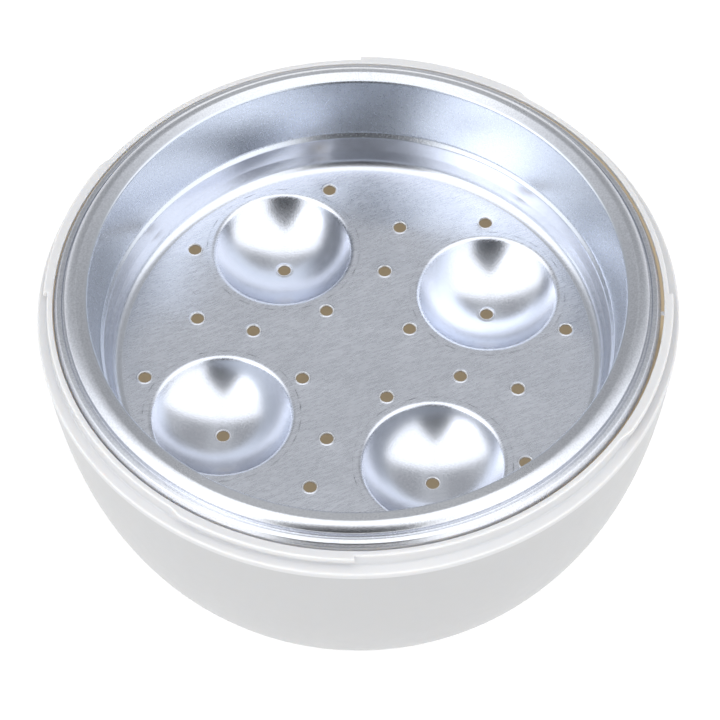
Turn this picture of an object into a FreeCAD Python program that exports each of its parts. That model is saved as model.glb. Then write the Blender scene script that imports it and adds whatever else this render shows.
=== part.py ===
"""Base half of a microwave egg cooker: a white moulded shell with a lift-out aluminium egg tray.

Millimetres, +Z up, origin at the centre of the foot, +X to the object's right.
"""
import math
import os

import FreeCAD
import Part

V = FreeCAD.Vector

# --- shell: egg-shaped lower body ---------------------------------------------------------------
RIM_Z = 72.0                # height of the tray rim's outer edge above the foot
BODY_R = 73.45              # largest radius of the egg curve
BODY_HALF_HEIGHT = 112.9    # vertical half axis of the egg curve
BODY_CENTRE_Z = 105.0       # height of the egg curve's centre
BODY_POWER = 3.26           # squareness of the egg curve
WALL = 2.6                  # moulded wall thickness
FOOT_R = 43.5               # outer radius of the standing ring
FOOT_RING_W = 4.5           # width of the standing ring
FOOT_RECESS = 1.2           # how far the middle of the underside is raised
INNER_FLOOR_Z = 3.8         # top of the water floor

# --- shell: ledge, collar and bayonet lugs --------------------------------------------------------
LEDGE_R = 72.95             # outer radius of the ledge the lid sits on
LEDGE_BOTTOM_Z = 66.2
LEDGE_TOP_Z = 67.9
COLLAR_R = 70.5             # outer radius of the upright collar
COLLAR_BORE_R = 69.2        # inner radius of the collar
COLLAR_TOP_Z = 71.7
RELIEF_R = 65.0             # radius of the shallow relief on the collar's right side
RELIEF_DEPTH = 0.15
RELIEF_ANGLE = -3.5
LUG_COUNT = 4
LUG_START = 55.0            # tapered end of the first lug, degrees
LUG_END = 90.0              # square end of the first lug, degrees
LUG_TAPER = 3.6             # length of the tapered end, degrees
LUG_R = 71.45               # outer radius over the lugs
LUG_THICK = 1.5
RIB_ANGLE = -4.0            # first of the seat ribs inside the collar
RIB_COUNT = 4
RIB_WIDTH = 1.2
RIB_INNER_R = 66.6
RIB_DROP = 12.0

# --- egg tray: one drawn aluminium sheet ------------------------------------------------------------
SHEET = 0.5
TRAY_OFFSET = (-0.2, -0.1)      # how the tray sits within its play in the collar
TRAY_TURN = -15.0               # how the tray is turned, degrees
RIM_R = 68.85
SKIRT_DROP = 1.0
SEAT_DROP = 1.25                # the rim's lower edge rests on the ribs at this depth
FLOOR_DROP = 23.4
RIM_PROFILE = (                 # upper surface from the rim's edge inwards: radius, height, bend radius
    (RIM_R, -SKIRT_DROP, 0.0),
    (67.95, 0.60, 0.50),
    (66.88, 0.90, 0.20),
    (66.72, 0.42, 0.10),
    (66.15, 0.45, 0.20),
    (66.10, 1.90, 0.30),
    (65.22, 2.95, 3.60),
    (63.60, 3.35, 1.00),
    (60.95, 2.45, 0.78),
    (59.27, -13.95, 1.10),
    (58.37, -15.00, 0.75),
    (57.85, -19.20, 3.00),
    (56.75, -22.95, 2.80),
    (54.90, -FLOOR_DROP, 0.30),
    (0.0, -FLOOR_DROP, 0.0),
)

# --- egg tray: wells and steam holes ------------------------------------------------------------------
WELL_PITCH = 50.2
PATTERN_SHIFT = -0.41        # how far wells and holes sit off the rim's axis, along the tray's own X
WELL_SPHERE_R = 20.3
WELL_DEPTH = 8.4
WELL_EDGE_R = 1.6           # rounding where a well meets the floor
WELL_PATCH_R = 18.3         # radius of the floor patch that carries one well
HOLE_R = 1.45
HOLE_MOUTH_R = 1.72
HOLE_MOUTH_DEPTH = 0.2
HOLE_RINGS = (              # radius of the ring, first angle, holes
    (14.3, 45.0, 4),
    (25.0, 0.0, 4),
    (38.7, 0.0, 4),
    (49.4, 23.2, 4),
    (49.4, 66.8, 4),
)


def unit(a, b):
    """Unit vector and length from a to b in the profile plane."""
    dx = b[0] - a[0]
    dz = b[1] - a[1]
    length = math.hypot(dx, dz)
    return dx / length, dz / length, length


def point(r, z):
    return V(r, 0, z)


def round_corners(corners):
    """Edges along corners of (radius, height, bend radius), each bend drawn as an arc."""
    edges = []
    start = corners[0]
    for i in range(1, len(corners) - 1):
        here = corners[i]
        ax, az, _ = unit(here, corners[i - 1])
        bx, bz, _ = unit(here, corners[i + 1])
        half = math.acos(max(-1.0, min(1.0, ax * bx + az * bz))) / 2
        if here[2] < 1e-6:
            edges.append(Part.makeLine(point(start[0], start[1]), point(here[0], here[1])))
            start = here
            continue
        back = here[2] / math.tan(half)
        first = (here[0] + ax * back, here[1] + az * back)
        last = (here[0] + bx * back, here[1] + bz * back)
        mx = (ax + bx) / math.hypot(ax + bx, az + bz)
        mz = (az + bz) / math.hypot(ax + bx, az + bz)
        reach = here[2] / math.sin(half) - here[2]
        middle = (here[0] + mx * reach, here[1] + mz * reach)
        edges.append(Part.makeLine(point(start[0], start[1]), point(*first)))
        edges.append(Part.Arc(point(*first), point(*middle), point(*last)).toShape())
        start = last
    edges.append(Part.makeLine(point(start[0], start[1]), point(corners[-1][0], corners[-1][1])))
    return edges


def offset_corners(corners, distance):
    """The same corners moved to the left of the direction of travel, with their bends kept parallel."""
    moved = []
    count = len(corners)
    for i in range(count):
        here = corners[i]
        before = unit(corners[max(i - 1, 0)], corners[max(i, 1)])
        after = unit(corners[min(i, count - 2)], corners[min(i + 1, count - 1)])
        nx = -before[1] - after[1]
        nz = before[0] + after[0]
        scale = 2 * distance / (nx * nx + nz * nz)
        turn = before[0] * after[1] - before[1] * after[0]
        bend = here[2]
        if bend > 0:
            bend = bend - math.copysign(distance, turn)
        moved.append((here[0] + nx * scale, here[1] + nz * scale, bend))
    return moved


def revolve(edges):
    face = Part.Face(Part.Wire(Part.__sortEdges__(edges)))
    return face.revolve(V(0, 0, 0), V(0, 0, 1), 360)


def ring_points(radius, first, count):
    for k in range(count):
        angle = math.radians(first + k * 360.0 / count)
        yield radius * math.cos(angle), radius * math.sin(angle)


# --- shell -------------------------------------------------------------------------------------------

def body_radius(z):
    """Radius of the egg curve at height z."""
    part = abs(z - BODY_CENTRE_Z) / BODY_HALF_HEIGHT
    return BODY_R * (1 - part ** BODY_POWER) ** (1 / BODY_POWER)


def body_curve(inset, low, high, steps):
    """Points on the egg curve moved inwards by inset, from height low to height high."""
    points = []
    for k in range(steps + 1):
        z = low + (high - low) * k / steps
        slope = (body_radius(z + 0.05) - body_radius(z - 0.05)) / 0.1
        length = math.hypot(1, slope)
        points.append(point(body_radius(z) - inset / length, z + inset * slope / length))
    return points


def spline(points):
    curve = Part.BSplineCurve()
    curve.interpolate(points)
    return curve.toShape()


def shell_body():
    outer = body_curve(0, 2.6, LEDGE_BOTTOM_Z, 14)
    inner = body_curve(WALL, 6.2, 60.0, 12)
    under = [
        (0, FOOT_RECESS, 0),
        (FOOT_R - FOOT_RING_W - 1.2, FOOT_RECESS, 0.8),
        (FOOT_R - FOOT_RING_W, 0, 0.6),
        (FOOT_R, 0, 1.4),
        (outer[0].x, outer[0].z, 0),
    ]
    top = [
        (outer[-1].x, LEDGE_BOTTOM_Z, 0),
        (LEDGE_R, LEDGE_BOTTOM_Z, 0.25),
        (LEDGE_R, LEDGE_TOP_Z, 0.45),
        (COLLAR_R, LEDGE_TOP_Z + 0.25, 0.5),
        (COLLAR_R, COLLAR_TOP_Z, 0.4),
        (COLLAR_BORE_R, COLLAR_TOP_Z, 0.2),
        (COLLAR_BORE_R, 62.0, 0),
        (inner[-1].x, inner[-1].z, 0),
    ]
    floor_edge = inner[0]
    floor = [
        (floor_edge.x, floor_edge.z, 0),
        (floor_edge.x - 4.6, INNER_FLOOR_Z, 4.0),
        (0, INNER_FLOOR_Z, 0),
    ]
    edges = round_corners(under) + [spline(outer)] + round_corners(top) + [spline(inner)]
    edges += round_corners(floor)
    edges.append(Part.makeLine(point(0, INNER_FLOOR_Z), point(0, FOOT_RECESS)))
    return revolve(edges)


def lug(first):
    """One bayonet lug: tapered at its leading end, square at the other."""
    low = COLLAR_TOP_Z - LUG_THICK
    section = [
        (COLLAR_R - 0.4, low, 0),
        (LUG_R, low, 0.25),
        (LUG_R, COLLAR_TOP_Z, 0.3),
        (COLLAR_R - 0.4, COLLAR_TOP_Z, 0),
    ]
    edges = round_corners(section)
    edges.append(Part.makeLine(point(COLLAR_R - 0.4, COLLAR_TOP_Z), point(COLLAR_R - 0.4, low)))
    ring = revolve(edges)
    outline = [
        (COLLAR_R - 1.0, first),
        (COLLAR_R - 0.1, first),
        (LUG_R + 0.1, first + LUG_TAPER),
        (LUG_R + 6, first + LUG_TAPER),
        (LUG_R + 6, first + LUG_END - LUG_START),
        (COLLAR_R - 1.0, first + LUG_END - LUG_START),
    ]
    corners = []
    for radius, angle in outline:
        a = math.radians(angle)
        corners.append(V(radius * math.cos(a), radius * math.sin(a), low - 1))
    wedge = Part.Face(Part.makePolygon(corners + [corners[0]])).extrude(V(0, 0, LUG_THICK + 2))
    return ring.common(wedge)


def rib(angle, seat_z):
    """One seat rib inside the collar, tapering away downwards."""
    side = [
        point(COLLAR_BORE_R + 0.5, seat_z),
        point(RIB_INNER_R, seat_z),
        point(RIB_INNER_R, seat_z - 2),
        point(COLLAR_BORE_R + 0.5, seat_z - RIB_DROP),
    ]
    face = Part.Face(Part.makePolygon(side + [side[0]]))
    face.translate(V(0, -RIB_WIDTH / 2, 0))
    solid = face.extrude(V(0, RIB_WIDTH, 0))
    solid.rotate(V(0, 0, 0), V(0, 0, 1), angle)
    return solid


def base_shell():
    shell = shell_body()
    relief = Part.makeCylinder(RELIEF_R, 8, V(COLLAR_BORE_R + RELIEF_DEPTH - RELIEF_R, 0, COLLAR_TOP_Z - 6))
    relief.rotate(V(0, 0, 0), V(0, 0, 1), RELIEF_ANGLE)
    shell = shell.cut(relief)
    added = []
    for k in range(LUG_COUNT):
        added.append(lug(LUG_START + k * 360.0 / LUG_COUNT))
    for k in range(RIB_COUNT):
        added.append(rib(RIB_ANGLE + k * 360.0 / RIB_COUNT, RIM_Z - SEAT_DROP))
    return shell.fuse(added).removeSplitter()


# --- egg tray ----------------------------------------------------------------------------------------

def sheet_solid(corners):
    """A revolved sheet whose upper surface follows corners, from the rim to the axis."""
    lower = offset_corners(corners, SHEET)
    lower[-1] = (0.0, corners[-1][1] - SHEET, 0.0)
    edges = round_corners(corners) + round_corners(lower)
    edges.append(Part.makeLine(point(*corners[0][:2]), point(*lower[0][:2])))
    edges.append(Part.makeLine(point(*corners[-1][:2]), point(*lower[-1][:2])))
    return revolve(edges)


def well():
    """One spherical well with its patch of floor and its middle hole, about its own axis."""
    centre_z = WELL_SPHERE_R - WELL_DEPTH
    reach = WELL_SPHERE_R + WELL_EDGE_R
    edge_r = math.sqrt(reach ** 2 - (centre_z + WELL_EDGE_R) ** 2)
    lean = math.atan2(edge_r, centre_z + WELL_EDGE_R)
    edges = []
    starts = []
    for grow, first_r in ((0.0, HOLE_MOUTH_R), (SHEET, HOLE_R)):
        ball = WELL_SPHERE_R + grow
        bend = WELL_EDGE_R - grow
        start = point(first_r, centre_z - math.sqrt(ball ** 2 - first_r ** 2))
        join = point(ball * math.sin(lean), centre_z - ball * math.cos(lean))
        part_way = point(ball * math.sin(lean / 2), centre_z - ball * math.cos(lean / 2))
        bend_mid = point(edge_r - bend * math.sin(lean / 2), -WELL_EDGE_R + bend * math.cos(lean / 2))
        flat = point(edge_r, -grow)
        edges.append(Part.Arc(start, part_way, join).toShape())
        edges.append(Part.Arc(join, bend_mid, flat).toShape())
        edges.append(Part.makeLine(flat, point(WELL_PATCH_R, -grow)))
        starts.append(start)
    throat = point(HOLE_R, starts[0].z - HOLE_MOUTH_DEPTH)
    edges.append(Part.makeLine(starts[0], throat))
    edges.append(Part.makeLine(throat, starts[1]))
    edges.append(Part.makeLine(point(WELL_PATCH_R, 0), point(WELL_PATCH_R, -SHEET)))
    return revolve(edges)


def steam_hole(x, y, z):
    bore = Part.makeCylinder(HOLE_R, 4, V(x, y, z - 3))
    mouth = Part.makeCone(HOLE_R, HOLE_MOUTH_R + 0.2, HOLE_MOUTH_DEPTH * 1.9, V(x, y, z - HOLE_MOUTH_DEPTH))
    return bore.fuse(mouth)


def egg_tray():
    tray = sheet_solid(RIM_PROFILE)
    half = WELL_PITCH / 2
    centres = [(PATTERN_SHIFT + sx * half, sy * half) for sx in (1, -1) for sy in (1, -1)]
    patches = []
    wells = []
    for x, y in centres:
        patches.append(Part.makeCylinder(WELL_PATCH_R, 4, V(x, y, -FLOOR_DROP - 2)))
        one = well()
        one.translate(V(x, y, -FLOOR_DROP))
        wells.append(one)
    tray = tray.cut(patches).fuse(wells).removeSplitter()
    holes = []
    for radius, first, count in HOLE_RINGS:
        for x, y in ring_points(radius, first, count):
            holes.append(steam_hole(x + PATTERN_SHIFT, y, -FLOOR_DROP))
    tray = tray.cut(holes)
    tray.rotate(V(0, 0, 0), V(0, 0, 1), TRAY_TURN)
    tray.translate(V(TRAY_OFFSET[0], TRAY_OFFSET[1], RIM_Z))
    return tray


os.makedirs("parts", exist_ok=True)
NODES = {
    "base_shell": base_shell(),
    "egg_tray": egg_tray(),
}
for name, shape in NODES.items():
    solids = shape.Solids
    print(name, "valid", shape.isValid(), "solids", len(solids))
    print(name, "volume", round(shape.Volume, 1), shape.BoundBox)
    shape = solids[0] if len(solids) == 1 else shape
    shape.exportStep("parts/" + name + ".step")
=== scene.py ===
"""Looks, camera and light for the egg cooker base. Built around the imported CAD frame, in metres."""
import math

import bmesh
import bpy
import numpy as np
from mathutils import Matrix, Vector
from mathutils.geometry import delaunay_2d_cdt


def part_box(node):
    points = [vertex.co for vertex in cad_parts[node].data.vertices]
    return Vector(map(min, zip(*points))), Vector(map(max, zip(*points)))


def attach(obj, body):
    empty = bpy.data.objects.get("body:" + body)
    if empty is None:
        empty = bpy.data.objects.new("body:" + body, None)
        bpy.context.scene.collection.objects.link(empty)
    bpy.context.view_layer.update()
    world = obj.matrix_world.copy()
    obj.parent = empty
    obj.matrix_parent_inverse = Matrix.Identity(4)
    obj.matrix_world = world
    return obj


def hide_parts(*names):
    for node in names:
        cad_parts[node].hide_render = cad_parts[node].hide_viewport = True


MM = 0.001

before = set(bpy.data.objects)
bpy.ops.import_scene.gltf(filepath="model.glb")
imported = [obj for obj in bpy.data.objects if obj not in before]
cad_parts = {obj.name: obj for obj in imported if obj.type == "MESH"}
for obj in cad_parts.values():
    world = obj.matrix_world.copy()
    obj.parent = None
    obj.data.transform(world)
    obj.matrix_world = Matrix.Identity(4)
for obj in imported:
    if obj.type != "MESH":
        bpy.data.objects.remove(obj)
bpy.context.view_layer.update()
shell_low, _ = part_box("base_shell")
tray_low, tray_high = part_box("egg_tray")
TRAY_X = (tray_low.x + tray_high.x) / 2
TRAY_Y = (tray_low.y + tray_high.y) / 2

# --- sizes in millimetres, the same as the CAD ----------------------------------------------------
RIM_Z = 72.0
SHEET = 0.5
TRAY_TURN = -15.0
FLOOR_DROP = 23.4
FLOOR_R = 54.6
RIM_PROFILE = (
    (68.85, -1.00, 0.0),
    (67.95, 0.60, 0.50),
    (66.88, 0.90, 0.20),
    (66.72, 0.42, 0.10),
    (66.15, 0.45, 0.20),
    (66.10, 1.90, 0.30),
    (65.22, 2.95, 3.60),
    (63.60, 3.35, 1.00),
    (60.95, 2.45, 0.78),
    (59.27, -13.95, 1.10),
    (58.37, -15.00, 0.75),
    (57.85, -19.20, 3.00),
    (56.75, -22.95, 2.80),
    (54.90, -FLOOR_DROP, 0.30),
    (FLOOR_R, -FLOOR_DROP, 0.0),
)
WELL_HALF_PITCH = 25.1
PATTERN_SHIFT = -0.41        # wells and holes off the rim's axis, along the tray's own X
WELL_SPHERE_R = 20.3
WELL_DEPTH = 8.4
WELL_EDGE_R = 1.6
WELL_PATCH_R = 18.3
HOLE_R = 1.45
HOLE_MOUTH_R = 1.72
HOLE_FLAT_R = 2.05
HOLE_RINGS = ((14.3, 45.0, 4), (25.0, 0.0, 4), (38.7, 0.0, 4), (49.4, 23.2, 4), (49.4, 66.8, 4))

BODY_R = 73.45
BODY_HALF_HEIGHT = 112.9
BODY_CENTRE_Z = 105.0
BODY_POWER = 3.26
WALL = 2.6
FOOT_R = 43.5
FOOT_RING_W = 4.5
FOOT_RECESS = 1.2
INNER_FLOOR_Z = 3.8
LEDGE_R = 72.95
LEDGE_BOTTOM_Z = 66.2
LEDGE_TOP_Z = 67.9
COLLAR_R = 70.5
COLLAR_BORE_R = 69.2
COLLAR_TOP_Z = 71.7
SHADE_DROP = 0.9             # below this much of the collar's bore the inside gets the painted shade and glow
RELIEF_R = 65.0
RELIEF_DEPTH = 0.15
RELIEF_ANGLE = -3.5
RELIEF_LENGTH = 6.0
LUG_COUNT = 4
LUG_START = 55.0
LUG_END = 90.0
LUG_TAPER = 3.6
LUG_R = 71.45
LUG_THICK = 1.5
LUG_BEND = 0.4
COLLAR_CREST_R = 70.08
RIB_ANGLE = -4.0
RIB_COUNT = 4
RIB_WIDTH = 1.2
RIB_INNER_R = 66.6
RIB_DROP = 12.0
RIB_ENDS = ((0.15, 0.0), (0.04, 0.06), (0.0, 0.16))     # rounding of a rib's sides: shrink, distance in
SEAT_DROP = 1.25
ROLL_ANGLE = 25.0            # direction of the sheet's rolling streaks, degrees

RING_STEPS = 240
WELL_STEPS = 88
HOLE_STEPS = 32
AZIMUTH_STEP = 1.25             # degrees between the shell's sections
SQUARE_END = 0.04               # degrees that a lug's square end takes
BEND_STEP = 7.5                 # degrees between points on a bend
LONGEST_RUN = 2.0               # between points on a straight run
FOOT_LONGEST_RUN = 8.0          # on the flat floor and foot
SHARP_ANGLE = 38.0              # degrees; bends past this are shaded as edges
METAL_BUMP = 0.000012
PLASTIC_BUMP = 0.000008


# --- profiles -------------------------------------------------------------------------------------

def away(a, b):
    """Unit vector and length from a to b in the profile plane."""
    dr = b[0] - a[0]
    dz = b[1] - a[1]
    length = math.hypot(dr, dz)
    return dr / length, dz / length, length


def rounded(corners, longest=LONGEST_RUN):
    """Points (radius, height) along corners of (radius, height, bend radius), bends sampled as arcs."""
    points = [corners[0][:2]]
    for i in range(1, len(corners) - 1):
        here = corners[i]
        if here[2] < 1e-6:
            points.append(here[:2])
            continue
        ar, az, _ = away(here, corners[i - 1])
        br, bz, _ = away(here, corners[i + 1])
        half = math.acos(max(-1.0, min(1.0, ar * br + az * bz))) / 2
        back = here[2] / math.tan(half)
        first = (here[0] + ar * back, here[1] + az * back)
        mid = math.hypot(ar + br, az + bz)
        centre_back = here[2] / math.sin(half)
        centre = (here[0] + (ar + br) / mid * centre_back, here[1] + (az + bz) / mid * centre_back)
        start = math.atan2(first[1] - centre[1], first[0] - centre[0])
        last = (here[0] + br * back, here[1] + bz * back)
        sweep = math.atan2(last[1] - centre[1], last[0] - centre[0]) - start
        sweep = (sweep + math.pi) % (2 * math.pi) - math.pi
        count = max(3, math.ceil(abs(math.degrees(sweep)) / BEND_STEP))
        for k in range(count + 1):
            angle = start + sweep * k / count
            points.append((centre[0] + here[2] * math.cos(angle), centre[1] + here[2] * math.sin(angle)))
    points.append(corners[-1][:2])
    return supported(points, longest)


def supported(points, longest):
    """The same line with long runs divided, and a point near each end of a run to hold its shading."""
    out = [points[0]]
    for a, b in zip(points, points[1:]):
        _, _, length = away(a, b)
        marks = []
        if length > 0.6:
            marks = [0.12 / length, 1 - 0.12 / length]
            inner = max(0, math.ceil(length / longest) - 1)
            marks += [(k + 1) / (inner + 1) for k in range(inner)]
        for t in sorted(marks):
            out.append((a[0] + (b[0] - a[0]) * t, a[1] + (b[1] - a[1]) * t))
        out.append(b)
    return out


def offset_corners(corners, distance):
    """The corners moved to the left of the direction of travel, with their bends kept parallel."""
    moved = []
    count = len(corners)
    for i in range(count):
        here = corners[i]
        before = away(corners[max(i - 1, 0)], corners[max(i, 1)])
        after = away(corners[min(i, count - 2)], corners[min(i + 1, count - 1)])
        nr = -before[1] - after[1]
        nz = before[0] + after[0]
        scale = 2 * distance / (nr * nr + nz * nz)
        turn = before[0] * after[1] - before[1] * after[0]
        bend = here[2] - math.copysign(distance, turn) if here[2] > 0 else 0.0
        moved.append((here[0] + nr * scale, here[1] + nz * scale, bend))
    return moved


# --- mesh building --------------------------------------------------------------------------------

class Builder:
    """Collects vertices and faces in millimetres and welds the seams between its patches."""

    def __init__(self):
        self.points = []
        self.faces = []

    def add(self, points, faces):
        base = len(self.points)
        self.points.extend(points)
        self.faces.extend(tuple(base + i for i in face) for face in faces)

    def grid(self, rows, wrap=True):
        """Quads between successive rows of points."""
        width = len(rows[0])
        faces = []
        for r in range(len(rows) - 1):
            for c in range(width if wrap else width - 1):
                d = (c + 1) % width
                faces.append((r * width + c, r * width + d, (r + 1) * width + d, (r + 1) * width + c))
        self.add([p for row in rows for p in row], faces)

    def mesh(self, name, matrix):
        points = np.array(self.points)
        _, first, where = np.unique(np.round(points, 4), axis=0, return_index=True, return_inverse=True)
        where = where.reshape(-1)
        faces = []
        for face in self.faces:
            ring = []
            for i in face:
                j = int(where[i])
                if j not in ring:
                    ring.append(j)
            if len(ring) > 2:
                faces.append(ring)
        data = bpy.data.meshes.new(name)
        data.from_pydata([tuple(p) for p in points[first]], [], faces)
        data.transform(matrix @ Matrix.Scale(MM, 4))
        data.validate()
        tidy = bmesh.new()
        tidy.from_mesh(data)
        bmesh.ops.recalc_face_normals(tidy, faces=tidy.faces)
        tidy.to_mesh(data)
        tidy.free()
        data.shade_smooth()
        data.set_sharp_from_angle(angle=math.radians(SHARP_ANGLE))
        piece = bpy.data.objects.new(name, data)
        bpy.context.scene.collection.objects.link(piece)
        return piece


def circle(radius, count, x=0.0, y=0.0, z=0.0, turn=0.0):
    out = []
    for k in range(count):
        angle = turn + 2 * math.pi * k / count
        out.append((x + radius * math.cos(angle), y + radius * math.sin(angle), z))
    return out


def sheet_with_holes(outer, inner):
    """Triangles of a flat sheet between an outer ring and inner rings: indices into outer plus inner."""
    rings = [outer] + inner
    flat = [Vector(p[:2]) for ring in rings for p in ring]
    edges = []
    base = 0
    for ring in rings:
        edges += [(base + k, base + (k + 1) % len(ring)) for k in range(len(ring))]
        base += len(ring)
    points, _, faces, source, _, _ = delaunay_2d_cdt(flat, edges, [], 1, 1e-6, True)
    back = [ids[0] for ids in source]
    kept = []
    for face in faces:
        cx = sum(points[i].x for i in face) / 3
        cy = sum(points[i].y for i in face) / 3
        inside_hole = False
        for ring in inner:
            mx = sum(p[0] for p in ring) / len(ring)
            my = sum(p[1] for p in ring) / len(ring)
            if math.hypot(cx - mx, cy - my) < math.hypot(ring[0][0] - mx, ring[0][1] - my) * 0.995:
                inside_hole = True
                break
        if not inside_hole:
            kept.append(tuple(back[i] for i in face))
    return kept


# --- egg tray -------------------------------------------------------------------------------------

def hole_lip(z):
    """A punched hole's section from the flat around it down to the sheet's underside."""
    return [
        (HOLE_FLAT_R, z),
        (HOLE_MOUTH_R + 0.26, z + 0.01),
        (HOLE_MOUTH_R + 0.07, z + 0.11),
        (HOLE_MOUTH_R - 0.05, z + 0.10),
        (HOLE_R + 0.09, z - 0.04),
        (HOLE_R + 0.02, z - 0.18),
        (HOLE_R, z - 0.34),
        (HOLE_R, z - SHEET),
        (HOLE_FLAT_R, z - SHEET),
    ]


def well_section():
    """A well's section from its patch of floor down to the middle hole and back along the underside."""
    centre_z = WELL_SPHERE_R - WELL_DEPTH
    reach = WELL_SPHERE_R + WELL_EDGE_R
    edge_r = math.sqrt(reach ** 2 - (centre_z + WELL_EDGE_R) ** 2)
    lean = math.atan2(edge_r, centre_z + WELL_EDGE_R)
    sides = []
    for grow in (0.0, SHEET):
        line = [(WELL_PATCH_R, -grow), (edge_r + 0.12, -grow)]
        bend = WELL_EDGE_R - grow
        for k in range(11):
            angle = lean * k / 10
            line.append((edge_r - bend * math.sin(angle), -WELL_EDGE_R + bend * math.cos(angle)))
        ball = WELL_SPHERE_R + grow
        start = math.asin((HOLE_MOUTH_R + 0.3) / ball)
        for k in range(1, 31):
            angle = lean + (start - lean) * k / 30
            line.append((ball * math.sin(angle), centre_z - ball * math.cos(angle)))
        sides.append(line)
    top_end = sides[0][-1]
    lip = [
        (HOLE_MOUTH_R + 0.06, top_end[1] + 0.06),
        (HOLE_MOUTH_R - 0.05, top_end[1] + 0.05),
        (HOLE_R + 0.09, top_end[1] - 0.08),
        (HOLE_R + 0.02, top_end[1] - 0.22),
        (HOLE_R, top_end[1] - 0.36),
        (HOLE_R, sides[1][-1][1] - 0.02),
    ]
    return sides[0] + lip + sides[1][::-1]


def pattern():
    """Centres of the wells and of the floor's holes, from the rim's axis."""
    centres = []
    for sx, sy in ((1, 1), (1, -1), (-1, 1), (-1, -1)):
        centres.append((PATTERN_SHIFT + sx * WELL_HALF_PITCH, sy * WELL_HALF_PITCH))
    holes = []
    for radius, first, count in HOLE_RINGS:
        for k in range(count):
            angle = math.radians(first + 360.0 * k / count)
            holes.append((PATTERN_SHIFT + radius * math.cos(angle), radius * math.sin(angle)))
    return centres, holes


def build_tray():
    parts = Builder()
    upper = rounded(RIM_PROFILE)
    lower = rounded(offset_corners(RIM_PROFILE, SHEET))
    lower[-1] = (FLOOR_R, -FLOOR_DROP - SHEET)
    section = upper[::-1] + lower
    parts.grid([circle(r, RING_STEPS, z=z) for r, z in section])

    centres, holes = pattern()
    for top, flip in ((-FLOOR_DROP, False), (-FLOOR_DROP - SHEET, True)):
        outer = circle(FLOOR_R, RING_STEPS, z=top)
        inner = [circle(WELL_PATCH_R, WELL_STEPS, x, y, top) for x, y in centres]
        inner += [circle(HOLE_FLAT_R, HOLE_STEPS, x, y, top) for x, y in holes]
        faces = sheet_with_holes(outer, inner)
        if flip:
            faces = [face[::-1] for face in faces]
        parts.add(outer + [p for ring in inner for p in ring], faces)
    for x, y in centres:
        parts.grid([circle(r, WELL_STEPS, x, y, z - FLOOR_DROP) for r, z in well_section()])
    for x, y in holes:
        parts.grid([circle(r, HOLE_STEPS, x, y, z) for r, z in hole_lip(-FLOOR_DROP)])
    turn = Matrix.Rotation(math.radians(TRAY_TURN), 4, "Z")
    return parts.mesh("egg_tray_sheet", Matrix.Translation((TRAY_X, TRAY_Y, RIM_Z * MM)) @ turn)


# --- base shell -----------------------------------------------------------------------------------

def body_radius(z):
    part = abs(z - BODY_CENTRE_Z) / BODY_HALF_HEIGHT
    return BODY_R * (1 - part ** BODY_POWER) ** (1 / BODY_POWER)


def body_curve(inset, low, high, steps):
    points = []
    for k in range(steps + 1):
        z = low + (high - low) * k / steps
        slope = (body_radius(z + 0.05) - body_radius(z - 0.05)) / 0.1
        length = math.hypot(1, slope)
        points.append((body_radius(z) - inset / length, z + inset * slope / length))
    return points


def lug_amount(angle):
    """How far the lug stands out at an azimuth in degrees, from 0 to 1."""
    pitch = 360.0 / LUG_COUNT
    along = (angle - LUG_START) % pitch
    span = LUG_END - LUG_START
    if along > span:
        return 0.0
    t = min(1.0, along / LUG_TAPER)
    return t * t * (3 - 2 * t)


def lug_section(amount):
    """The collar's outer edge with a lug that stands out by amount, from its underside to the crest."""
    low = COLLAR_TOP_Z - LUG_THICK
    out = (LUG_R - COLLAR_R) * (1 - amount)
    line = rounded([
        (COLLAR_R, low, 0),
        (LUG_R, low, 0.25),
        (LUG_R, COLLAR_TOP_Z, LUG_BEND),
        (COLLAR_CREST_R, COLLAR_TOP_Z, 0),
    ])
    section = []
    for r, z in line:
        if z < COLLAR_TOP_Z - LUG_BEND:
            section.append((COLLAR_R + (r - COLLAR_R) * amount, z))
        else:
            along = (r - COLLAR_CREST_R) / (LUG_R - LUG_BEND - COLLAR_CREST_R)
            section.append((r - out * max(0.0, min(1.0, along)), z))
    return section


def collar_bore(angle):
    """The collar's inner radius at an azimuth, with the shallow relief on its right side."""
    offset = COLLAR_BORE_R + RELIEF_DEPTH - RELIEF_R
    turn = math.radians(angle - RELIEF_ANGLE)
    relief = offset * math.cos(turn) + math.sqrt(RELIEF_R ** 2 - (offset * math.sin(turn)) ** 2)
    return max(COLLAR_BORE_R, relief)


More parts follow.
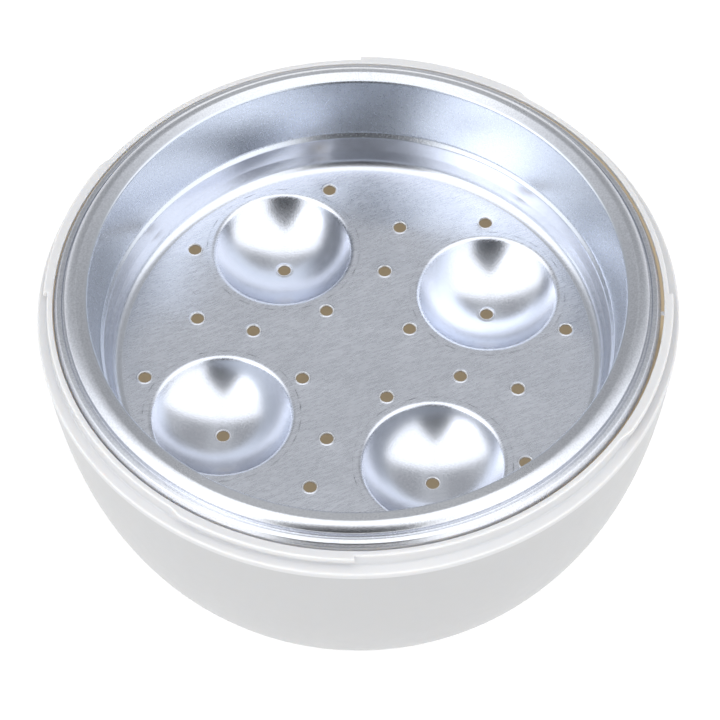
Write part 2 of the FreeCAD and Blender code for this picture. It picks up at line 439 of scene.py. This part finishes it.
def shell_section(angle):
    """The shell's closed section at an azimuth, from the middle of the foot round to the water floor."""
    outer = body_curve(0, 2.6, LEDGE_BOTTOM_Z, 44)
    inner = body_curve(WALL, 6.2, 60.0, 36)
    under = rounded([
        (0.0, FOOT_RECESS, 0),
        (FOOT_R - FOOT_RING_W - 1.2, FOOT_RECESS, 0.8),
        (FOOT_R - FOOT_RING_W, 0, 0.6),
        (FOOT_R, 0, 1.4),
        (outer[0][0], outer[0][1], 0),
    ], longest=FOOT_LONGEST_RUN)
    top = rounded([
        (outer[-1][0], LEDGE_BOTTOM_Z, 0),
        (LEDGE_R, LEDGE_BOTTOM_Z, 0.25),
        (LEDGE_R, LEDGE_TOP_Z, 0.45),
        (COLLAR_R, LEDGE_TOP_Z + 0.25, 0.5),
        (COLLAR_R, COLLAR_TOP_Z - LUG_THICK, 0),
    ])
    lug = lug_section(lug_amount(angle))
    bore = collar_bore(angle)
    mouth = rounded([
        (COLLAR_CREST_R, COLLAR_TOP_Z, 0),
        (bore, COLLAR_TOP_Z, 0.2),
        (bore, COLLAR_TOP_Z - SHADE_DROP, 0),
        (bore, COLLAR_TOP_Z - RELIEF_LENGTH, 0),
        (COLLAR_BORE_R, COLLAR_TOP_Z - RELIEF_LENGTH - 0.01, 0),
        (COLLAR_BORE_R, 62.0, 0),
        (inner[-1][0], inner[-1][1], 0),
    ])
    edge = inner[0]
    floor = rounded([
        (edge[0], edge[1], 0),
        (edge[0] - 4.6, INNER_FLOOR_Z, 4.0),
        (0.0, INNER_FLOOR_Z, 0),
    ], longest=FOOT_LONGEST_RUN)
    return under + outer[1:] + top[1:] + lug[1:] + mouth[1:] + inner[::-1][1:] + floor[1:]


def azimuths():
    """Evenly spread azimuths with extra ones at the lugs' tapers and square ends."""
    angles = set(np.round(np.arange(0, 360, AZIMUTH_STEP), 3).tolist())
    for k in range(LUG_COUNT):
        start = LUG_START + 360.0 / LUG_COUNT * k
        end = start + LUG_END - LUG_START
        angles.update(round((start + LUG_TAPER * t / 8) % 360, 3) for t in range(9))
        angles.add(round(end % 360, 3))
        angles.add(round((end + SQUARE_END) % 360, 3))
    return sorted(angles)


def build_shell():
    parts = Builder()
    angles = azimuths()
    sections = [shell_section(a) for a in angles]
    rows = []
    for i in range(len(sections[0])):
        row = []
        for a, section in zip(angles, sections):
            r, z = section[i]
            row.append((r * math.cos(math.radians(a)), r * math.sin(math.radians(a)), z))
        rows.append(row)
    parts.grid(rows)
    return parts.mesh("base_shell_moulding", Matrix.Identity(4))


def build_ribs():
    parts = Builder()
    seat = RIM_Z - SEAT_DROP
    outline = rounded([
        (COLLAR_BORE_R + 0.3, seat - RIB_DROP, 0),
        (COLLAR_BORE_R + 0.3, seat, 0),
        (RIB_INNER_R, seat, 0.4),
        (RIB_INNER_R, seat - 2, 0.6),
        (COLLAR_BORE_R + 0.3, seat - RIB_DROP, 0),
    ])[:-1]
    half = RIB_WIDTH / 2
    for k in range(RIB_COUNT):
        turn = math.radians(RIB_ANGLE + 360.0 / RIB_COUNT * k)
        c, s = math.cos(turn), math.sin(turn)
        rows = []
        sides = [(shrink, step - half) for shrink, step in RIB_ENDS]
        sides += [(shrink, half - step) for shrink, step in reversed(RIB_ENDS)]
        for shrink, y in sides:
            rows.append([(r * c - y * s, r * s + y * c, z - shrink) for r, z in outline])
        parts.grid(rows)
        width = len(outline)
        parts.add(rows[0], [tuple(range(width))])
        parts.add(rows[-1], [tuple(range(width))])
    return parts.mesh("seat_ribs", Matrix.Identity(4))


# --- materials ------------------------------------------------------------------------------------

class Nodes:
    """Short forms for wiring a node tree."""

    def __init__(self, tree):
        self.tree = tree
        tree.nodes.clear()

    def new(self, kind, **values):
        node = self.tree.nodes.new(kind)
        for key, value in values.items():
            setattr(node, key, value)
        return node

    def feed(self, node, name, value):
        socket = node.inputs[name]
        if isinstance(value, bpy.types.NodeSocket):
            self.tree.links.new(value, socket)
        else:
            socket.default_value = value

    def math(self, operation, *values, clamp=False):
        node = self.new("ShaderNodeMath", operation=operation, use_clamp=clamp)
        for i, value in enumerate(values):
            self.feed(node, i, value)
        return node.outputs[0]

    def vector(self, operation, *values):
        node = self.new("ShaderNodeVectorMath", operation=operation)
        for i, value in enumerate(values):
            self.feed(node, i, value)
        return node

    def step(self, value, low, high, to_low=0.0, to_high=1.0):
        """A smooth change from to_low at low to to_high at high."""
        node = self.new("ShaderNodeMapRange", interpolation_type="SMOOTHSTEP")
        names = ("Value", "From Min", "From Max", "To Min", "To Max")
        for name, number in zip(names, (value, low, high, to_low, to_high)):
            self.feed(node, name, number)
        return node.outputs["Result"]

    def mix(self, factor, a, b):
        node = self.new("ShaderNodeMix", data_type="RGBA")
        self.feed(node, 0, factor)
        self.feed(node, 6, a)
        self.feed(node, 7, b)
        return node.outputs[2]

    def blend(self, factor, a, b):
        node = self.new("ShaderNodeMix", data_type="FLOAT")
        self.feed(node, 0, factor)
        self.feed(node, 2, a)
        self.feed(node, 3, b)
        return node.outputs[0]

    def noise(self, where, scale, detail=2.0, roughness=0.5):
        node = self.new("ShaderNodeTexNoise")
        self.feed(node, "Vector", where)
        self.feed(node, "Scale", scale)
        self.feed(node, "Detail", detail)
        self.feed(node, "Roughness", roughness)
        return node.outputs["Fac"]

    def bump(self, height, distance, strength=1.0, normal=None):
        node = self.new("ShaderNodeBump")
        self.feed(node, "Height", height)
        self.feed(node, "Distance", distance)
        self.feed(node, "Strength", strength)
        if normal is not None:
            self.feed(node, "Normal", normal)
        return node.outputs["Normal"]


def new_material(name):
    material = bpy.data.materials.new(name)
    material.use_nodes = True
    nodes = Nodes(material.node_tree)
    surface = nodes.new("ShaderNodeBsdfPrincipled")
    output = nodes.new("ShaderNodeOutputMaterial")
    nodes.feed(output, "Surface", surface.outputs[0])
    return material, nodes, surface


def placed(nodes, turn=0.0):
    """Position in millimetres about the tray's axis, turned about it."""
    where = nodes.new("ShaderNodeTexCoord").outputs["Object"]
    mapping = nodes.new("ShaderNodeMapping", vector_type="TEXTURE")
    nodes.feed(mapping, "Vector", where)
    nodes.feed(mapping, "Location", (TRAY_X, TRAY_Y, 0))
    nodes.feed(mapping, "Rotation", (0, 0, math.radians(turn)))
    nodes.feed(mapping, "Scale", (MM, MM, MM))
    return mapping.outputs[0]


def stretched(nodes, where, scale):
    return nodes.vector("MULTIPLY", where, scale).outputs[0]


def polar(nodes, where):
    """Distance from the axis, azimuth in radians and height."""
    split = nodes.new("ShaderNodeSeparateXYZ")
    nodes.feed(split, 0, where)
    x, y, z = split.outputs
    square = nodes.math("ADD", nodes.math("MULTIPLY", x, x), nodes.math("MULTIPLY", y, y))
    return nodes.math("SQRT", square), nodes.math("ARCTAN2", y, x), z


def aluminium():
    """Drawn sheet: rolled floor, grainy where the press stretched it, fine lines down the wall."""
    material, nodes, surface = new_material("drawn_aluminium")
    where = placed(nodes)
    radius, azimuth, height = polar(nodes, where)

    def times(a, b):
        return nodes.math("MULTIPLY", a, b)

    def plus(a, b):
        return nodes.math("ADD", a, b)

    def minus(a, b):
        return nodes.math("SUBTRACT", a, b)

    # regions of the tray, each 0 to 1
    rim = nodes.step(radius, 60.95, 62.0)
    floor = nodes.step(radius, 55.2, 53.4, 0.0, 1.0)
    wall = times(nodes.step(height, RIM_Z - 16.0, RIM_Z - 13.0), minus(1.0, rim))
    low = minus(minus(1.0, rim), plus(floor, wall))
    bowl = nodes.step(height, RIM_Z - FLOOR_DROP - 0.05, RIM_Z - FLOOR_DROP - 1.2)
    flat = times(floor, minus(1.0, bowl))
    # on the rim at the left and right sides: rougher, grainier, and a darker colour that paints shade
    # over the reflections there
    across = nodes.step(nodes.math("ABSOLUTE", nodes.math("COSINE", azimuth)), 0.45, 0.85)
    matte_painted_shade_sides = times(rim, across)

    # textures
    along_roll = placed(nodes, ROLL_ANGLE)
    streaks = nodes.noise(stretched(nodes, along_roll, (0.35, 1.9, 0.5)), 1.0, 3.0, 0.6)
    fine_streaks = nodes.noise(stretched(nodes, along_roll, (0.8, 4.2, 1.0)), 1.0, 2.0, 0.55)
    grain = nodes.noise(where, 2.4, 3.0, 0.6)
    waves = nodes.noise(where, 0.11, 1.0, 0.4)
    around = nodes.new("ShaderNodeCombineXYZ")
    nodes.feed(around, 0, times(azimuth, 70.0))
    nodes.feed(around, 1, times(height, 0.05))
    draw_lines = nodes.noise(around.outputs[0], 1.0, 3.0, 0.6)

    # relief
    floor_bump = plus(times(streaks, 0.5), times(fine_streaks, 0.8))
    grain_amount = plus(times(low, 0.6), times(rim, 0.2))
    grain_amount = plus(grain_amount, times(matte_painted_shade_sides, 0.55))
    grain_amount = plus(grain_amount, times(bowl, 0.55))
    relief = times(times(floor_bump, flat), 0.75)
    relief = plus(relief, times(times(grain, grain_amount), 2.2))
    relief = plus(relief, times(times(draw_lines, wall), 0.25))
    relief = plus(relief, times(waves, 3.0))
    nodes.feed(surface, "Normal", nodes.bump(relief, METAL_BUMP, 1.0))

    # colour
    soft_grain = nodes.blend(nodes.blend(wall, 0.35, 0.15), 0.5, grain)
    tone = nodes.blend(flat, soft_grain, nodes.blend(0.5, streaks, fine_streaks))
    tone = nodes.step(tone, 0.34, 0.66)
    metal = nodes.mix(tone, (0.71, 0.735, 0.805, 1), (0.845, 0.87, 0.945, 1))
    drawn = plus(times(wall, 0.75), times(low, 0.15))
    metal = nodes.mix(drawn, metal, (0.60, 0.645, 0.71, 1))
    speck = nodes.step(grain, 0.38, 0.62)
    bright_rim = nodes.mix(speck, (0.74, 0.755, 0.80, 1), (0.82, 0.835, 0.88, 1))
    # painted shade: the darker rim colour used at the left and right sides
    painted_shade_rim = nodes.mix(speck, (0.56, 0.58, 0.63, 1), (0.68, 0.70, 0.755, 1))
    metal = nodes.mix(rim, metal, nodes.mix(times(matte_painted_shade_sides, 0.75), bright_rim, painted_shade_rim))
    nodes.feed(surface, "Base Color", metal)

    rough = plus(nodes.blend(flat, 0.20, 0.25), times(drawn, 0.05))
    rough = plus(rough, times(matte_painted_shade_sides, 0.13))
    rough = plus(rough, times(tone, 0.08))
    nodes.feed(surface, "Roughness", rough)
    nodes.feed(surface, "Metallic", 1.0)
    return material


def painted_highlight_lip():
    """Lighter, rougher metal on the raised lip round each hole; the lighter colour is a painted
    highlight for the bright ring the lip catches.
    """
    material, nodes, surface = new_material("lip_painted_highlight")
    grain = nodes.noise(placed(nodes), 6.0, 2.0, 0.5)
    nodes.feed(surface, "Base Color", nodes.mix(grain, (0.88, 0.89, 0.92, 1), (0.97, 0.975, 0.99, 1)))
    nodes.feed(surface, "Metallic", 1.0)
    nodes.feed(surface, "Roughness", nodes.blend(grain, 0.42, 0.58))
    return material


def mark_highlight_lips(piece):
    """Give the raised edge round each hole the second material, with its painted highlight."""
    turn = Matrix.Rotation(math.radians(TRAY_TURN), 2)
    centres, holes = pattern()
    middles = [turn @ Vector(at) * MM + Vector((TRAY_X, TRAY_Y)) for at in centres + holes]
    reach = (HOLE_MOUTH_R + 0.1) * MM
    for face in piece.data.polygons:
        if face.normal.z > 0.15 and face.area < 1e-6:
            if min((face.center.xy - middle).length for middle in middles) < reach:
                face.material_index = 1


def plastic(inside):
    """White moulded plastic that lets some light through; in the water space inside, a darker colour and
    a glow paint its shade and the light that comes through the wall.
    """
    material, nodes, surface = new_material("plastic_inside_painted_shade" if inside else "white_plastic")
    where = placed(nodes)
    mottle = nodes.noise(where, 0.35, 3.0, 0.55)
    nodes.feed(surface, "Roughness", nodes.math("ADD", nodes.math("MULTIPLY", mottle, 0.12), 0.30))
    nodes.feed(surface, "IOR", 1.49)
    if inside:
        # painted shade and glow: a darker colour and a tan emission stand in for the shade in the water
        # space and the light that comes through the wall, the glow stronger towards the top
        shade = nodes.mix(mottle, (0.17, 0.137, 0.092, 1), (0.225, 0.182, 0.123, 1))
        nodes.feed(surface, "Base Color", (0.30, 0.28, 0.25, 1))
        nodes.feed(surface, "Emission Color", shade)
        _, _, height = polar(nodes, where)
        nodes.feed(surface, "Emission Strength", nodes.step(height, 60.0, 68.0, 1.0, 1.8))
    else:
        _, _, height = polar(nodes, where)
        # painted shade: the same plastic gets a darker white below the ledge, for the shade on the
        # body's side, and a lighter white on the ledge and collar above
        painted_light_above_ledge = nodes.step(height, LEDGE_BOTTOM_Z - 0.4, LEDGE_BOTTOM_Z + 0.3)
        white = nodes.mix(painted_light_above_ledge, (0.475, 0.475, 0.478, 1), (0.60, 0.60, 0.608, 1))
        nodes.feed(surface, "Base Color", white)
        nodes.feed(surface, "Subsurface Weight", 1.0)
        nodes.feed(surface, "Subsurface Radius", (3.0, 2.7, 2.3))
        nodes.feed(surface, "Subsurface Scale", 0.0004)
    grain = nodes.noise(where, 2.6, 3.0, 0.6)
    nodes.feed(surface, "Normal", nodes.bump(grain, PLASTIC_BUMP, 0.5))
    return material


def line_inside(piece):
    """Give the faces that look into the water space the second material, with its painted shade and
    glow.
    """
    for face in piece.data.polygons:
        radius = math.hypot(face.center.x, face.center.y) / MM
        height = face.center.z / MM
        in_height = INNER_FLOOR_Z - 0.5 < height < COLLAR_TOP_Z - SHADE_DROP
        if in_height and radius < min(COLLAR_BORE_R + 0.45, body_radius(height) - 1.6):
            face.material_index = 1


# --- pieces ---------------------------------------------------------------------------------------

tray = build_tray()
tray.data.materials.append(aluminium())
tray.data.materials.append(painted_highlight_lip())
mark_highlight_lips(tray)
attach(tray, "tray")
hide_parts("egg_tray")

white = plastic(False)
inside_painted_shade = plastic(True)
shell = build_shell()
shell.data.materials.append(white)
shell.data.materials.append(inside_painted_shade)
line_inside(shell)
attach(shell, "shell")
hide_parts("base_shell")

ribs = build_ribs()
ribs.data.materials.append(white)
ribs.data.materials.append(inside_painted_shade)
# the ribs' lower faces get the inside's painted shade and glow
for side in ribs.data.polygons:
    side.material_index = 1 if side.center.z / MM < RIM_Z - SEAT_DROP - 0.1 else 0
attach(ribs, "shell")


# --- floor, light and camera ----------------------------------------------------------------------

TENT_LEVEL = 1.5                # brightness of the tent overhead and at the sides
FAR_LEVEL = 0.40                # behind the object
FAR_SIDE_LEVEL = 0.55           # behind and well to the side
FAR_MIDDLE_EXTRA = 0.17         # added straight behind
LAMP_AT = (-0.62, -0.42, 0.66)  # the brightest part of the tent, as a direction
LAMP_EXTRA = 1.4
OPENING_X = -0.04               # the dark opening's middle, left to right
OPENING_START = -0.36           # it widens from here towards the camera
OPENING_SPREAD = 1.15
OPENING_HALF_WIDTH = 0.38
OPENING_LOW_LEVEL = 0.05
OPENING_LEVEL = 0.22
SUN_ENERGY = 1.57
SUN_WIDTH = 70                  # degrees
SUN_TILT = 35                   # degrees, towards the camera's side
FLOOR_SIZE = 4.0                # metres, radius
FLOOR_GAP = 0.0002              # below the object
FLOOR_GREY = 0.18
FLOOR_GLOW = 0.84
VIEW_TURN = 1.5                 # degrees about the tray's axis
VIEW_ELEVATION = 52.68          # degrees
VIEW_DISTANCE = 0.70036
VIEW_ROLL = -0.985              # degrees
VIEW_AIM = Vector((0.00071, -0.01896, 0.0))
VIEW_CENTRE_SHIFT = -0.0003
LENS = 154.55


def build_floor():
    data = bpy.data.meshes.new("floor")
    points = circle(FLOOR_SIZE, 64)
    data.from_pydata(points, [], [tuple(range(len(points)))])
    floor = bpy.data.objects.new("floor", data)
    bpy.context.scene.collection.objects.link(floor)
    floor.location.z = shell_low.z - FLOOR_GAP
    material, nodes, surface = new_material("pale_floor")
    nodes.feed(surface, "Base Color", (FLOOR_GREY, FLOOR_GREY, FLOOR_GREY, 1))
    nodes.feed(surface, "Roughness", 0.9)
    nodes.feed(surface, "Emission Color", (1, 1, 1, 1))
    nodes.feed(surface, "Emission Strength", FLOOR_GLOW)
    data.materials.append(material)


def build_light():
    """A white tent: bright overhead and at the sides, dimmer behind, dark on the camera's side."""
    world = bpy.data.worlds.new("studio")
    bpy.context.scene.world = world
    world.use_nodes = True
    nodes = Nodes(world.node_tree)
    where = nodes.new("ShaderNodeTexCoord").outputs["Generated"]
    split = nodes.new("ShaderNodeSeparateXYZ")
    nodes.feed(split, 0, where)
    x, y = split.outputs[0], split.outputs[1]
    behind = nodes.step(y, 0.12, 0.32)
    side = nodes.step(nodes.math("ABSOLUTE", x), 0.55, 0.80)
    middle = nodes.step(nodes.math("ABSOLUTE", x), 0.08, 0.34, FAR_MIDDLE_EXTRA, 0.0)
    far = nodes.math("ADD", nodes.blend(side, FAR_LEVEL, FAR_SIDE_LEVEL), middle)
    tent = nodes.blend(behind, TENT_LEVEL, far)
    from_lamp = nodes.vector("DISTANCE", where, LAMP_AT).outputs["Value"]
    tent = nodes.math("ADD", tent, nodes.step(from_lamp, 0.12, 0.38, LAMP_EXTRA, 0.0))
    off_centre = nodes.math("ABSOLUTE", nodes.math("SUBTRACT", x, OPENING_X))
    depth = nodes.math("MAXIMUM", nodes.math("SUBTRACT", OPENING_START, y), 0.0)
    width = nodes.math("MINIMUM", nodes.math("MULTIPLY", depth, OPENING_SPREAD), OPENING_HALF_WIDTH)
    dim = nodes.step(y, -0.90, -0.60, OPENING_LOW_LEVEL, OPENING_LEVEL)
    past_edge = nodes.math("SUBTRACT", off_centre, width)
    opening = nodes.step(past_edge, -0.08, 0.06, 1.0, 0.0)
    level = nodes.blend(opening, tent, dim)
    background = nodes.new("ShaderNodeBackground")
    nodes.feed(background, "Color", (0.97, 0.985, 1.0, 1))
    nodes.feed(background, "Strength", level)
    output = nodes.new("ShaderNodeOutputWorld")
    nodes.feed(output, "Surface", background.outputs[0])
    data = bpy.data.lights.new("overhead", "SUN")
    data.energy = SUN_ENERGY
    data.angle = math.radians(SUN_WIDTH)
    overhead = bpy.data.objects.new("overhead", data)
    bpy.context.scene.collection.objects.link(overhead)
    overhead.rotation_euler.x = math.radians(SUN_TILT)
    overhead.visible_glossy = False


def build_camera():
    elevation = math.radians(VIEW_ELEVATION)
    away_from = Vector((0, -math.cos(elevation), math.sin(elevation))) * VIEW_DISTANCE
    forward = (VIEW_AIM - away_from).normalized()
    right = forward.cross(Vector((0, 0, 1))).normalized()
    up = right.cross(forward)
    axes = Matrix((right, up, -forward)).transposed().to_4x4()
    turn = Matrix.Rotation(math.radians(VIEW_TURN), 4, "Z")
    centre = Vector((TRAY_X + VIEW_CENTRE_SHIFT, TRAY_Y, RIM_Z * MM))
    data = bpy.data.cameras.new("camera")
    data.lens = LENS
    data.sensor_width = 36.0
    data.clip_start = 0.01
    camera = bpy.data.objects.new("camera", data)
    bpy.context.scene.collection.objects.link(camera)
    roll = Matrix.Rotation(math.radians(VIEW_ROLL), 4, "Z")
    camera.matrix_world = Matrix.Translation(centre) @ turn @ Matrix.Translation(away_from) @ axes @ roll
    bpy.context.scene.camera = camera


build_floor()
build_light()
build_camera()
bpy.context.scene.view_settings.view_transform = "Standard"
